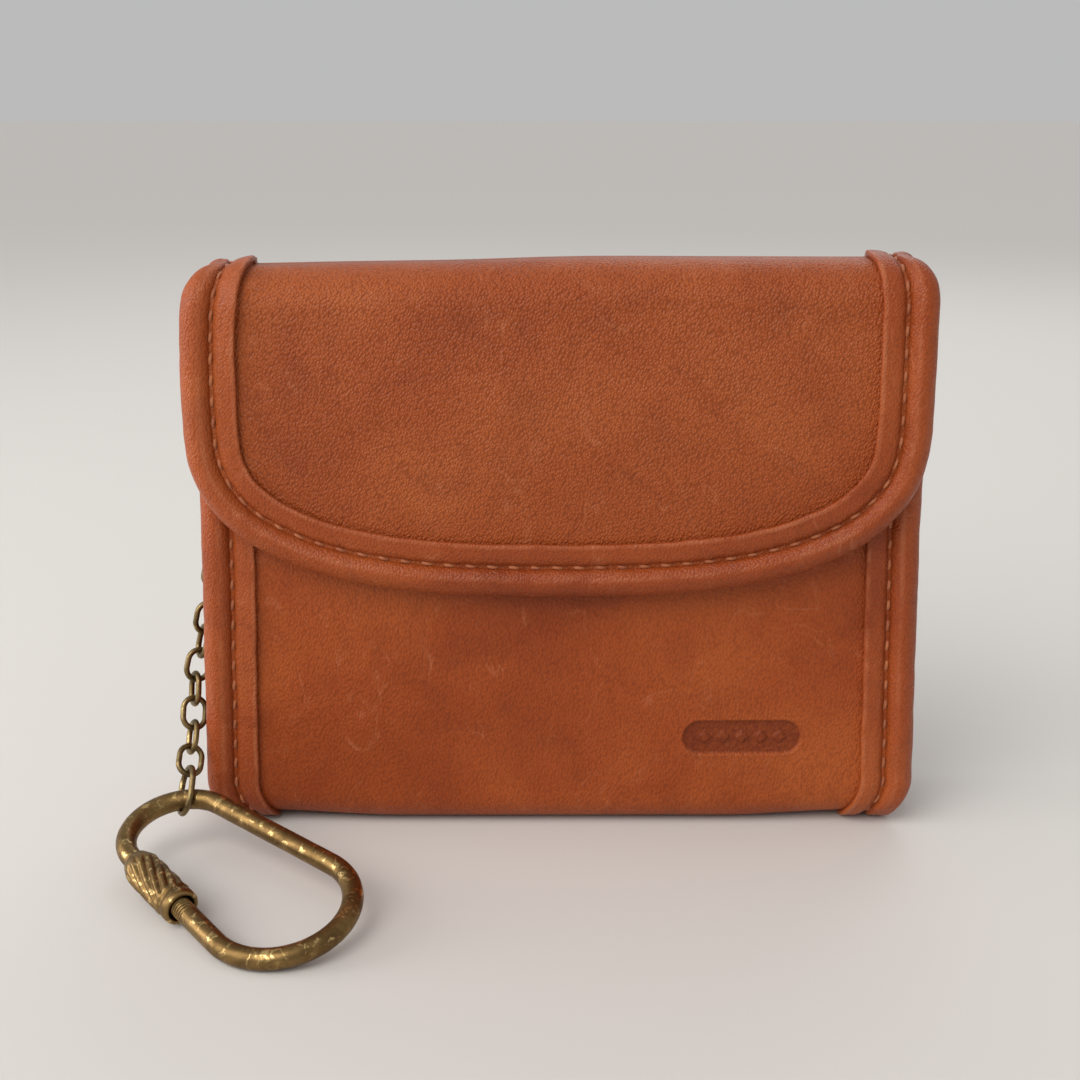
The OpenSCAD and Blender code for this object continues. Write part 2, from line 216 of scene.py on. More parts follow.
class Line:
    """A line of [Y, Z] points, followed by its length, with the normal on its outer side."""

    def __init__(self, points, outer_side):
        self.points = np.array(points)
        steps = np.linalg.norm(np.diff(self.points, axis=0), axis=1)
        self.run = np.concatenate([[0], np.cumsum(steps)])
        self.length = self.run[-1]
        tangent = np.gradient(self.points, self.run, axis=0)
        tangent /= np.linalg.norm(tangent, axis=1)[:, None]
        self.normal = outer_side * np.stack([-tangent[:, 1], tangent[:, 0]], 1)

    def at(self, s, h=0.0):
        p = [np.interp(s, self.run, self.points[:, k]) for k in (0, 1)]
        n = [np.interp(s, self.run, self.normal[:, k]) for k in (0, 1)]
        size = math.hypot(*n)
        return p[0] + h * n[0] / size, p[1] + h * n[1] / size


def arc(centre, radius, a0, a1, count=25):
    return [np.array(centre) + radius * direction(a) for a in np.linspace(a0, a1, count)]


def run_to(points, end, spacing=1.0):
    """Points on a straight from the last point to end."""
    start = points[-1]
    count = max(2, int(np.linalg.norm(np.array(end) - start) / spacing))
    return points + [start + (np.array(end) - start) * i / count for i in range(1, count + 1)]


def wall_points(rise):
    """From the middle of the bottom round the back fold and up the back wall."""
    points = run_to([np.array([0.0, 0.0])], [WALL_Y, 0.0])
    points += arc([WALL_Y, FOLD_R], FOLD_R, -90, LEAN)[1:]
    return run_to(points, points[-1] + rise * direction(90 + LEAN))


BACK_RISE = (FOLD_Z - FOLD_R) / math.cos(math.radians(LEAN))
FRONT_RISE = (WALL_TOP - FOLD_R) / math.cos(math.radians(LEAN))
SEAM_Y = -2.0

back_points = wall_points(BACK_RISE - 1.0)
back_points += arc([FLAP_BACK_Y, FOLD_Z], FLAP_FOLD_R, 2, 90)
BACK = Line(run_to(back_points, [SEAM_Y, TOP], 0.5), -1)
FRONT = Line([p * np.array([-1, 1]) for p in wall_points(FRONT_RISE)], 1)

flap_points = run_to([np.array([SEAM_Y, TOP])], [FLAP_FRONT_Y, TOP], 0.5)
flap_points += arc([FLAP_FRONT_Y, FOLD_Z], FLAP_FOLD_R, 90, 180 - LEAN)[1:]
FLAP_ARC = len(flap_points) - 1
flap_points = run_to(flap_points, flap_points[-1] + (FOLD_Z - FLAP_LOW + 8) * direction(270 - LEAN), 0.5)
FLAP = Line(flap_points, -1)
FLAP_S = FLAP.run[FLAP_ARC]
COS_LEAN = math.cos(math.radians(LEAN))


def flap_s(z):
    """Distance along the flap's section line to height z of its straight front."""
    return FLAP_S + (FOLD_Z - z) / COS_LEAN


def flap_bulge(x, s):
    """How far the flap's face swells: soft over its middle, drawn in at the edge."""
    z = FOLD_Z - (s - FLAP_S) * COS_LEAN
    across = max(0.0, 1 - (x / FLAP_HALF) ** 2)
    up = step(FOLD_Z + 4, FOLD_Z - 16, z) * step(FLAP_LOW - 2, FLAP_LOW + 22, z)
    return 0.9 * across * up + 0.22 * bump(x, s, 0, 24, 3.1)


SAG = 1.1


def sagged(x, z):
    """The top fold hangs a little lower towards its left end."""
    return z - SAG * step(5, -52, x) * step(55, TOP, z)


def on_flap(x, s, h):
    y, z = FLAP.at(s, h + flap_bulge(x, s))
    return x + FLAP_SHIFT * step(0, FLAP_S + 8, s), y, sagged(x, z)


def body_bulge(x, s, line):
    across = max(0.0, 1 - (x / BODY_HALF) ** 2)
    t = s / line.length
    waves = 0.18 * bump(x, s, 5, 26, 7.7) * step(0.05, 0.15, t)
    return 0.7 * across * step(0.12, 0.35, t) * step(1.0, 0.7, t) + waves


def bottom_room(x, s, line):
    """How far the leather sits above the ground, which its sides' binding and its own middle rest on."""
    return (1.0 - step(0, 8, line.at(s)[1])) * (0.12 + 0.88 * step(26, BODY_HALF - 8, abs(x)))


def on_front(x, s, h):
    y, z = FRONT.at(s, h + body_bulge(x, s, FRONT) - bottom_room(x, s, FRONT))
    return x, y, z


def on_back(x, s, h):
    over = step(FOLD_Z - 12, FOLD_Z - 2, BACK.at(s)[1])
    bulge = body_bulge(x, s, BACK) * (1 - over) + over * flap_bulge(x, 0)
    y, z = BACK.at(s, h + bulge - bottom_room(x, s, BACK))
    return x, y, sagged(x, z)


# ---- Materials ----

class Nodes:
    """Builds a material's node tree in a few words."""

    def __init__(self, name):
        self.material = bpy.data.materials.new(name)
        self.material.use_nodes = True
        self.tree = self.material.node_tree
        self.shader = self.tree.nodes["Principled BSDF"]
        self.coords = self.add("ShaderNodeTexCoord").outputs["Object"]

    def add(self, kind, **values):
        node = self.tree.nodes.new(kind)
        for key, value in values.items():
            setattr(node, key, value)
        return node

    def link(self, source, target):
        self.tree.links.new(source, target)

    def set(self, **values):
        for key, value in values.items():
            self.shader.inputs[key.replace("_", " ")].default_value = value

    def noise(self, size, detail=3.0, distortion=0.0, stretch=(1, 1, 1), roughness=0.5):
        """Noise whose features are about size millimetres across."""
        mapping = self.add("ShaderNodeMapping")
        mapping.inputs["Scale"].default_value = [k / (size * MM) for k in stretch]
        self.link(self.coords, mapping.inputs["Vector"])
        node = self.add("ShaderNodeTexNoise")
        node.inputs["Scale"].default_value = 1.0
        node.inputs["Detail"].default_value = detail
        node.inputs["Roughness"].default_value = roughness
        node.inputs["Distortion"].default_value = distortion
        self.link(mapping.outputs["Vector"], node.inputs["Vector"])
        return node.outputs["Fac"]

    def cells(self, size, stretch, turn, warp):
        """Warped Voronoi cells about size millimetres across, drawn out by stretch after a turn about Y."""
        wave = self.add("ShaderNodeTexNoise")
        wave.inputs["Scale"].default_value = 1 / (size * 1.6 * MM)
        self.link(self.coords, wave.inputs["Vector"])
        warped = self.add("ShaderNodeVectorMath", operation="MULTIPLY_ADD")
        self.link(wave.outputs["Color"], warped.inputs[0])
        warped.inputs[1].default_value = [warp * size * MM] * 3
        self.link(self.coords, warped.inputs[2])
        mapping = self.add("ShaderNodeMapping", vector_type="TEXTURE")
        mapping.inputs["Rotation"].default_value = (0, turn, 0)
        mapping.inputs["Scale"].default_value = [k * size * MM for k in stretch]
        self.link(warped.outputs["Vector"], mapping.inputs["Vector"])
        node = self.add("ShaderNodeTexVoronoi", feature="F1")
        node.inputs["Scale"].default_value = 1.0
        self.link(mapping.outputs["Vector"], node.inputs["Vector"])
        return node.outputs["Distance"]

    def ramp(self, source, *stops):
        """Colours or greys by value: each stop is (place, grey or colour)."""
        node = self.add("ShaderNodeValToRGB")
        elements = node.color_ramp.elements
        while len(elements) < len(stops):
            elements.new(0.5)
        for element, (place, value) in zip(elements, stops):
            element.position = place
            element.color = (*value, 1) if isinstance(value, tuple) else (value, value, value, 1)
        self.link(source, node.inputs["Fac"])
        return node.outputs["Color"]

    def mix(self, factor, a, b):
        node = self.add("ShaderNodeMix", data_type="RGBA", blend_type="MIX")
        for socket, value in ((node.inputs["Factor"], factor), (node.inputs[6], a), (node.inputs[7], b)):
            if isinstance(value, bpy.types.NodeSocket):
                self.link(value, socket)
            elif isinstance(value, tuple):
                socket.default_value = (*value, 1)
            else:
                socket.default_value = value
        return node.outputs[2]

    def maths(self, operation, *values):
        node = self.add("ShaderNodeMath", operation=operation)
        for socket, value in zip(node.inputs, values):
            if isinstance(value, bpy.types.NodeSocket):
                self.link(value, socket)
            else:
                socket.default_value = value
        return node.outputs["Value"]

    def bumps(self, *layers):
        """Stacked bumps: each layer is (height, strength, millimetres)."""
        normal = None
        for height, strength, distance in layers:
            node = self.add("ShaderNodeBump")
            node.inputs["Strength"].default_value = strength
            node.inputs["Distance"].default_value = distance * MM
            self.link(height, node.inputs["Height"])
            if normal:
                self.link(normal, node.inputs["Normal"])
            normal = node.outputs["Normal"]
        self.link(normal, self.shader.inputs["Normal"])

    def colour(self, socket):
        self.link(socket, self.shader.inputs["Base Color"])

    def roughness(self, socket):
        self.link(socket, self.shader.inputs["Roughness"])


def edge_wear(nodes, a, b):
    """0 on flats and in grooves, 1 on the crests of convex edges."""
    point = nodes.add("ShaderNodeNewGeometry").outputs["Pointiness"]
    return nodes.ramp(point, (a, 0.0), (b, 1.0))


# Pale colour for worn scuff lines on the leather, and for a painted sheen on the bindings' bead crests and inner
# edges
PALE_WEAR_AND_SHEEN = (0.50, 0.17, 0.075)


def leather(name, crease, dark, mid, light, grain, depth, gloss, turn=-1.05, pressed=False, shine=0.22):
    """Glove leather: fine pebbles drawn out along a diagonal, with a painted highlight on their tops and painted
    shade in their valleys, soft stains and a worn light haze.
    """
    nodes = Nodes(name)
    broad = nodes.noise(30, 3, 0.3)
    patches = nodes.noise(7, 5, 0.9, roughness=0.6)
    fine = nodes.noise(0.7, 4)
    colour = nodes.ramp(broad, (0.32, dark), (0.5, mid), (0.7, light))
    colour = nodes.mix(nodes.ramp(patches, (0.4, 0.0), (0.8, 0.3)), colour, light)
    pores = nodes.cells(grain, (1.5, 1, 1), turn, 0.16)
    # Painted shade: the grain's valleys are darkened towards the crease colour
    grain_valley_shade = nodes.ramp(pores, (0.35, 0.0), (0.8, 1.0))
    colour = nodes.mix(nodes.maths("MULTIPLY", grain_valley_shade, 0.5 * depth), colour, crease)
    # Painted highlight: the pebbles' tops are lightened towards the light colour
    colour = nodes.mix(nodes.ramp(pores, (0.1, 0.4 * depth), (0.35, 0.0)), colour, light)
    stains = nodes.noise(11, 4, 1.2)
    colour = nodes.mix(nodes.ramp(stains, (0.52, 0.0), (0.78, 0.32)), colour, crease)
    lines = nodes.ramp(nodes.noise(13, 3, 1.6, (1, 1, 0.5)), (0.488, 0.0), (0.5, 0.34), (0.512, 0.0))
    lines = nodes.maths("MULTIPLY", lines, nodes.ramp(patches, (0.45, 0.0), (0.65, 1.0)))
    colour = nodes.mix(lines, colour, PALE_WEAR_AND_SHEEN)
    if pressed:
        # The pressed attribute: below 0 a painted sheen, above 0 darker, as the front plaque's burnished lozenge
        # and as painted shade in the bindings' stitch lines and under their inner edges
        burnish_and_shade = nodes.add("ShaderNodeAttribute", attribute_name="pressed").outputs["Fac"]
        painted_sheen = nodes.maths("MULTIPLY", burnish_and_shade, -1.0)
        painted_sheen = nodes.maths("MULTIPLY", painted_sheen, nodes.ramp(patches, (0.35, 0.0), (0.7, 0.75)))
        # Painted sheen: pale, in patches, where the attribute is below 0
        colour = nodes.mix(painted_sheen, colour, PALE_WEAR_AND_SHEEN)
        burnish_and_shade = nodes.maths("MULTIPLY", burnish_and_shade, nodes.ramp(fine, (0.3, 0.45), (0.7, 0.8)))
        # Darker where the attribute is above 0: the plaque's burnished lozenge, and painted shade on the bindings
        colour = nodes.mix(burnish_and_shade, colour, crease)
    nodes.colour(colour)
    rough = nodes.ramp(nodes.noise(3.2, 5), (0.3, gloss - 0.05), (0.7, gloss + 0.06))
    nodes.roughness(rough)
    pull = nodes.noise(3.4, 4, 1.1, (1, 1, 0.55))
    height = nodes.maths("SUBTRACT", 1.0, pores)
    nodes.bumps((pull, 0.2, 0.4), (height, depth, 0.26), (fine, 0.1, 0.05))
    nodes.set(Sheen_Weight=0.02, Sheen_Roughness=0.5)
    nodes.shader.inputs["Specular IOR Level"].default_value = shine
    return nodes.material


def suede(name, dark, light):
    nodes = Nodes(name)
    nap = nodes.noise(0.45, 6, 0.6)
    colour = nodes.ramp(nodes.noise(9, 5, 0.7), (0.3, dark), (0.7, light))
    nodes.colour(nodes.mix(nodes.ramp(nap, (0.4, 0.0), (0.7, 0.35)), colour, light))
    nodes.bumps((nodes.noise(2.4, 4, 1.0), 0.3, 0.4), (nap, 0.5, 0.12))
    nodes.set(Roughness=0.88, Sheen_Weight=0.35, Sheen_Roughness=0.6)
    return nodes.material


def thread_material():
    nodes = Nodes("thread")
    fibre = nodes.noise(0.22, 3, 0.3, (1, 1, 3))
    colour = nodes.ramp(nodes.noise(6, 3), (0.3, (0.30, 0.066, 0.015)), (0.7, (0.50, 0.150, 0.042)))
    nodes.colour(nodes.mix(nodes.ramp(fibre, (0.4, 0.0), (0.7, 0.3)), colour, (0.20, 0.045, 0.012)))
    nodes.bumps((fibre, 0.6, 0.08))
    nodes.set(Roughness=0.5, Sheen_Weight=0.2)
    return nodes.material


def brass(name, dark, mid, bright, wear):
    """Antiqued brass: bright where it rubs on its edges and in patches, with a painted highlight on faces that
    look up and painted shade, left dark, on faces that look down.
    """
    nodes = Nodes(name)
    blotch = nodes.noise(3.4, 6, 0.6, roughness=0.6)
    speck = nodes.noise(0.5, 4, 0.3)
    colour = nodes.ramp(blotch, (0.3, dark), (0.6, mid))
    split = nodes.add("ShaderNodeSeparateXYZ")
    nodes.link(nodes.add("ShaderNodeNewGeometry").outputs["Normal"], split.inputs["Vector"])
    # Painted highlight and shade: the bright wear colour is weighted to faces that look up, so faces that look
    # down stay dark
    up = nodes.maths("MULTIPLY_ADD", split.outputs["Z"], 0.5, 0.5)
    worn = nodes.ramp(nodes.noise(1.3, 7, 0.8, roughness=0.65), (wear, 0.0), (wear + 0.09, 1.0))
    worn = nodes.maths("MULTIPLY", worn, nodes.ramp(up, (0.45, 0.15), (0.85, 1.0)))
    worn = nodes.maths("MAXIMUM", worn, nodes.maths("MULTIPLY", edge_wear(nodes, 0.52, 0.6), 0.75))
    colour = nodes.mix(worn, colour, bright)
    colour = nodes.mix(nodes.ramp(speck, (0.28, 0.6), (0.42, 0.0)), colour, dark)
    nodes.colour(colour)
    nodes.roughness(nodes.mix(worn, nodes.ramp(blotch, (0.3, 0.5), (0.7, 0.34)), (0.24, 0.24, 0.24)))
    nodes.bumps((blotch, 0.12, 0.3), (speck, 0.14, 0.08))
    nodes.set(Metallic=1.0)
    return nodes.material


# Dark colour for stains and the front plaque's burnished lozenge, and for painted shade in the grain's valleys, in
# the bindings' stitch lines and under their inner edges
DARK_STAIN_AND_SHADE = (0.12, 0.016, 0.003)
HIDE = leather("leather_body", DARK_STAIN_AND_SHADE, (0.275, 0.050, 0.008), (0.34, 0.068, 0.012), (0.42, 0.100, 0.022),
               0.34, 0.75, 0.38)
FRONT_HIDE = leather("leather_front", DARK_STAIN_AND_SHADE, (0.265, 0.045, 0.007), (0.335, 0.062, 0.010),
                     (0.40, 0.087, 0.016), 0.38, 0.55, 0.40, -1.35, True)
STRIP = leather("leather_binding", DARK_STAIN_AND_SHADE, (0.255, 0.042, 0.006), (0.325, 0.059, 0.009), (0.40, 0.090, 0.018),
                0.32, 0.5, 0.36, pressed=True, shine=0.28)
SUEDE = suede("leather_lining", (0.17, 0.058, 0.022), (0.30, 0.12, 0.055))
THREAD = thread_material()
CHAIN_BRASS = brass("brass_chain", (0.060, 0.040, 0.018), (0.20, 0.135, 0.058), (0.50, 0.37, 0.17), 0.57)
RING_BRASS = brass("brass_ring", (0.115, 0.068, 0.026), (0.25, 0.155, 0.058), (0.70, 0.50, 0.21), 0.555)


# ---- Leather sheets ----

def flap_half(z):
    """Half width of the flap's edge at height z of its front: a superellipse below, nearly straight above."""
    if z >= FLAP_MID_Z:
        return FLAP_HALF - 0.3 * step(FLAP_MID_Z + 4, FOLD_Z + 4, z)
    t = min(1.0, (FLAP_MID_Z - z) / (FLAP_MID_Z - FLAP_LOW))
    return FLAP_HALF * (1 - t ** FLAP_POWER) ** (1 / FLAP_POWER)


FOLD_WAIST = 54.2
CORNER_H = 8.0
BEAD_CORNER_H = 3.6


def arc_in(z, height):
    """How far a quarter circle of this height has come in at z: 0 below it, 1 at the top."""
    near = min(1.0, max(0.0, 1 - (TOP - z) / height))
    return 1 - math.sqrt(1 - near * near)


def round_corner(half, z):
    """Takes half a width in to FOLD_WAIST where z nears the top."""
    return half - (half - FOLD_WAIST) * arc_in(z, CORNER_H)


def flap_edge_x(s):
    """Half width of the flap's outline at distance s along it."""
    z = FLAP.at(s)[1]
    return round_corner(flap_half(z), z)


def back_edge_x(s):
    z = BACK.at(s)[1]
    return round_corner(body_half(z), z)


def front_edge_x(s):
    return body_half(FRONT.at(s)[1])


def body_half(z):
    """Half width of the body: a little wider low down, with rounded bottom corners."""
    return BODY_HALF + 0.03 * (30 - min(50.0, max(8.0, z))) - 2.4 * (1 - step(-1, 8, z))


def line_steps(line, fine, spots=()):
    """Distances along a line, about a spacing apart, closer near the given spots."""
    out, s = [0.0], 0.0
    while s < line.length - 0.05:
        gap = fine
        for a, b, small in spots:
            if a <= s < b:
                gap = small
        s = min(line.length, s + gap)
        out.append(s)
    return out


UNDER = 3.2  # how far inside the binding's edge a sheet ends


def hide_sheet(name, place, edge, distances, columns, thickness, material, dent=None):
    """A sheet of leather between two bound edges, with an optional pressed pattern."""
    def outer(s, u):
        x = u * (edge(s) - UNDER)
        return place(x, s, -dent(x, s) if dent else 0.0)

    def inner(s, u):
        return place(u * (edge(s) - UNDER), s, -thickness)

    return shell(name, distances, columns, outer, inner, material)


PLAQUE_X = BODY_HALF - 4.3 - 22.7
PLAQUE_Z = 15.6
PLAQUE_HALF = 9.5
PLAQUE_R = 2.9
PLAQUE_DEEP = 0.42
DIAMOND_GAP = 3.0


def store_pressed(obj, values):
    attribute = obj.data.attributes.new("pressed", "FLOAT", "POINT")
    attribute.data.foreach_set("value", values)


def mark_pressed(obj):
    """Stores how deeply each point of the front's face is pressed, for the burnished colour."""
    values = []
    for vertex in obj.data.vertices:
        x, y, z = vertex.co / MM
        reach = math.hypot(max(0.0, abs(x - PLAQUE_X) - (PLAQUE_HALF - PLAQUE_R)), z - PLAQUE_Z)
        values.append(step(PLAQUE_R + 0.1, PLAQUE_R - 0.35, reach) if y < 0 else 0.0)
    store_pressed(obj, values)


def plaque_dent(x, s):
    """Depth of a pressed plain lozenge with five raised diamonds."""
    z = FRONT.at(s)[1]
    dx, dz = abs(x - PLAQUE_X), z - PLAQUE_Z
    reach = math.hypot(max(0.0, dx - (PLAQUE_HALF - PLAQUE_R)), dz)
    if reach > PLAQUE_R + 0.5:
        return 0.0
    depth = PLAQUE_DEEP * step(PLAQUE_R + 0.15, PLAQUE_R - 0.3, reach)
    lip = 0.10 * step(PLAQUE_R + 0.5, PLAQUE_R + 0.15, reach) * step(PLAQUE_R - 0.1, PLAQUE_R + 0.15, reach)
    rise = 0.0
    for i in range(-2, 3):
        away = abs(x - PLAQUE_X - DIAMOND_GAP * i) + abs(dz)
        rise = max(rise, 0.36 * step(1.25, 0.85, away))
    return depth - rise - lip


def spaced(a, b, gap):
    return list(np.linspace(a, b, max(2, int(round((b - a) / gap)) + 1)))


def front_columns():
    half = BODY_HALF - UNDER
    a, b = (PLAQUE_X - PLAQUE_HALF - 0.7) / half, (PLAQUE_X + PLAQUE_HALF + 0.7) / half
    left = spaced(-1, a, 1.3 / half)
    middle = spaced(a, b, 0.2 / half)
    return left + middle[1:] + spaced(b, 1, 1.3 / half)[1:]


def front_rows():
    z_of = np.array([FRONT.at(s)[1] for s in FRONT.run])
    mid = float(np.interp(PLAQUE_Z, z_of[FRONT.run > 5], FRONT.run[FRONT.run > 5]))
    return line_steps(FRONT, 1.2, [(mid - PLAQUE_R - 0.8, mid + PLAQUE_R + 0.8, 0.2)])


def flap_rows():
    """Distances along the flap, following its superellipse down to the narrow end."""
    rows = list(np.linspace(0, flap_s(FLAP_MID_Z), 34))
    b = FLAP_MID_Z - FLAP_LOW - UNDER
    for a in np.linspace(4, 84, 30):
        rows.append(flap_s(FLAP_MID_Z - b * math.sin(math.radians(a)) ** (2 / FLAP_POWER)))
    return rows


def flap_sheet(name, h, thickness, inset, material):
    """One layer of the flap's front, from the seam on its top to its curved edge."""
    def half(s):
        z = FOLD_Z - (s - FLAP_S) * COS_LEAN
        if z > FLAP_MID_Z:
            return flap_edge_x(s) - inset
        t = min(1.0, (FLAP_MID_Z - z) / (FLAP_MID_Z - FLAP_LOW - inset))
        return (FLAP_HALF - inset) * (1 - t ** FLAP_POWER) ** (1 / FLAP_POWER)

    columns = np.linspace(-1, 1, 90)
    return shell(name, flap_rows(), columns, lambda s, u: on_flap(u * half(s), s, h),
                 lambda s, u: on_flap(u * half(s), s, h - thickness), material)


# ---- Bindings: a strip folded over an edge, with a bead, a sunk stitch line and a flat ----

# Each point is (distance in from the edge, height above the leather's outer face)
BEAD = [(8.25, -0.15), (8.5, 0.30), (8.52, 0.74), (8.35, 0.96), (7.9, 1.02), (7.1, 0.96), (6.2, 0.86),
        (5.6, 0.70), (5.2, 0.34), (4.95, -0.06), (4.75, -0.28), (4.52, -0.10), (4.2, 0.52), (3.8, 0.94),
        (3.3, 1.22), (2.5, 1.40), (1.7, 1.28), (0.9, 0.88), (0.35, 0.3), (0.05, -0.35)]


def binding_profile(thickness):
    """The whole section: front ply, round the edge, back ply, and the slot between them filled."""
    inner = [(d, -thickness - h) for d, h in BEAD[::-1]]
    edge = [(-0.05, -thickness / 2)]
    return BEAD + edge + inner


def smooth_profile(points, times=2):
    """Rounds an open profile by cutting its corners."""
    for _ in range(times):
        out = [points[0]]
        for a, b in zip(points, points[1:]):
            a, b = np.array(a), np.array(b)
            out += [tuple(0.75 * a + 0.25 * b), tuple(0.25 * a + 0.75 * b)]
        points = out + [points[-1]]
    return points


def wobble(seed, s):
    """Small unevenness of hand-turned leather along an edge, from -1 to 1."""
    return bump(s, 0, 0, 6.5, seed) + 0.5 * bump(s, 0, 0, 2.4, seed + 3)


def side_path(edge, distances, side):
    """(x, s, inward x, inward s) along one side of a panel."""
    return [(side * edge(s), s, -side, 0.0) for s in distances]


def flap_path():
    """(x, s, inward x, inward s) round the flap, from the left of its top seam to the right."""
    b = FLAP_MID_Z - FLAP_LOW
    left = [(-flap_edge_x(s), s) for s in np.linspace(0, flap_s(FLAP_MID_Z) - 0.5, 60)]
    around = []
    for a in np.linspace(180, 360, 181):
        c, d = math.cos(math.radians(a)), math.sin(math.radians(a))
        x = FLAP_HALF * math.copysign(abs(c) ** (2 / FLAP_POWER), c)
        around.append((x, flap_s(FLAP_MID_Z - b * abs(d) ** (2 / FLAP_POWER))))
    points = left + around + [(-x, s) for x, s in left[::-1]]
    points = resample(np.array(points), 0.8)
    tangent = np.gradient(points, axis=0)
    tangent /= np.linalg.norm(tangent, axis=1)[:, None]
    return [(p[0], p[1], t[1], -t[0]) for p, t in zip(points, tangent)]


def resample(points, gap):
    steps = np.linalg.norm(np.diff(points, axis=0), axis=1)
    run = np.concatenate([[0], np.cumsum(steps)])
    s = np.linspace(0, run[-1], int(run[-1] / gap) + 1)
    return np.stack([np.interp(s, run, points[:, k]) for k in range(points.shape[1])], 1)


def binding_shade_and_sheen(d, h, run):
    """How much painted shade the binding has at a point: most in the sunk stitch line at its holes, then under the
    strip's inner edge, and below 0 for a painted sheen on the bead's crest and the inner edge's top.
    """
    hole = 0.5 - 0.5 * math.cos(2 * math.pi * run / PITCH)
    # Painted shade in the sunk stitch line, darkest at the holes
    line = step(0.55, 0.1, abs(d - STITCH_IN)) * (0.6 + 0.4 * hole)
    # Painted shadow under the strip's inner edge
    rim = 0.7 * step(8.1, 8.5, d) * step(0.55, 0.1, h)
    # Painted sheen on the bead's crest and the top of the inner edge, subtracted so that it falls below 0
    worn = 0.5 * step(0.55, 0.1, abs(d - 3.0)) + 0.7 * step(0.4, 0.1, abs(d - 8.1)) * step(0.5, 0.9, h)
    return line + rim - (worn if h > 0 else 0.0)


def binding(name, place, path, thickness, seed, lift):
    """Sweeps the binding's profile along an edge path on a surface."""
    profile = smooth_profile(binding_profile(thickness))
    rings, pressed, run, last = [], [], 0.0, None
    for x, s, nx, ns in path:
        if last is not None:
            run += math.hypot(x - last[0], s - last[1])
        last = (x, s)
        edge, flat = 0.12 * wobble(seed, run), 0.16 * wobble(seed + 9, run)
        ring = []
        for d, h in profile:
            inner_part = step(4.5, 8.5, d)
            reach = d + edge * (1 - inner_part) + flat * inner_part
            rise = h
            if h > 0:
                rise += 0.05 * wobble(seed + 20 + d / 3, run)
                rise += 0.09 * math.cos(2 * math.pi * run / PITCH) * step(3.6, 4.3, d) * step(6.2, 5.2, d)
            more_d, more_h = lift(x, s, d, h)
            reach, rise = reach + more_d, rise + more_h
            ring.append(place(x + nx * reach, s + ns * reach, rise))
            # Each point's painted shade and sheen, stored in the pressed attribute
            pressed.append(binding_shade_and_sheen(d, h, run))
        rings.append(ring)
    obj = sweep(name, rings, STRIP)
    store_pressed(obj, pressed)
    return obj


def capsule(p, along, out, length, radius):
    """Rings of a short thread that rises from the leather and dips back into it."""
    along, out = unit(along), unit(out)
    across = np.cross(along, out)
    sides = 8
    rings = []
    for t, r in ((-0.5, 0.25), (-0.44, 0.7), (-0.3, 1.0), (0, 1.08), (0.3, 1.0), (0.44, 0.7), (0.5, 0.25)):
        centre = np.asarray(p) + along * t * length - out * radius * 2.2 * (2 * abs(t)) ** 2.5
        ring = []
        for k in range(sides):
            a = 2 * math.pi * k / sides
            ring.append(centre + radius * r * (math.cos(a) * across + math.sin(a) * out))
        rings.append(ring)
    return rings


def stitches(name, place, path, thickness):
    """A row of stitches in the binding's sunk line, on its face and its back."""
    xs = np.array([(x + nx * STITCH_IN, s + ns * STITCH_IN) for x, s, nx, ns in path])
    steps = np.linalg.norm(np.diff(xs, axis=0), axis=1)
    run = np.concatenate([[0], np.cumsum(steps)])
    count = int(run[-1] / PITCH)
    start = (run[-1] - (count - 1) * PITCH) / 2
    points, faces = [], []
    for i in range(count):
        at = start + i * PITCH

        def spot(d):
            return [float(np.interp(at + d, run, xs[:, k])) for k in (0, 1)]

        for h, sign in ((THREAD_UP, 1), (-thickness - THREAD_UP, -1)):
            a, b, c = (np.array(place(*spot(d), h)) for d in (-1, 0, 1))
            out = sign * (np.array(place(*spot(0), h + 1)) - b)
            slant = 0.10 * np.cross(unit(c - a), unit(out))
            slip = 1 + 0.1 * noise.noise(Vector((i * 1.7, 3.3, sign)))
            rings = capsule(b, unit(c - a) + slant, out, STITCH_LENGTH * slip, THREAD_R)
            base = len(points)
            columns = len(rings[0])
            points += [p for ring in rings for p in ring]
            faces += grid_faces(len(rings), columns, start=base, wrap=True)
            faces.append(tuple(base + j for j in range(columns))[::-1])
            faces.append(tuple(base + (len(rings) - 1) * columns + j for j in range(columns)))
    return make_mesh(name, points, faces, THREAD)


def face_outward(mesh):
    """Turns the faces of a closed mesh outward if they face inward."""
    mesh.calc_loop_triangles()
    corners = np.array([[mesh.vertices[i].co for i in tri.vertices] for tri in mesh.loop_triangles])
    if np.einsum("ij,ij->", corners[:, 0], np.cross(corners[:, 1], corners[:, 2])) < 0:
        mesh.flip_normals()


def finish_piece(obj, body=None, nodes=(), bend=None):
    """Turns a piece's faces outward, hides the CAD nodes it replaces, and either bakes its transform where it is,
    when it is given a bend, or parents it to its body's empty.
    """
    face_outward(obj.data)
    if nodes:
        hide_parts(*nodes)
    if bend:
        a, b, start, end = bend
        tuple(np.array(start) * MM)
        tuple(np.array(end) * MM)
        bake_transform(obj)
    else:
        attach(obj, body)


# Lines where the leather crosses the top back fold, along its diagonal, and the bottom front fold, upwards; a
# piece given one has its transform baked
HALF_BEND = 2.6 / math.sqrt(2)
TOP_BEND = ("purse", "flap", (0, FLAP_BACK_Y + HALF_BEND, FOLD_Z - HALF_BEND),
            (0, FLAP_BACK_Y - HALF_BEND, FOLD_Z + HALF_BEND))
LOW_BEND = ("purse", "front", (0, -WALL_Y - FOLD_R, 0.5), (0, -WALL_Y - FOLD_R, 10.0))


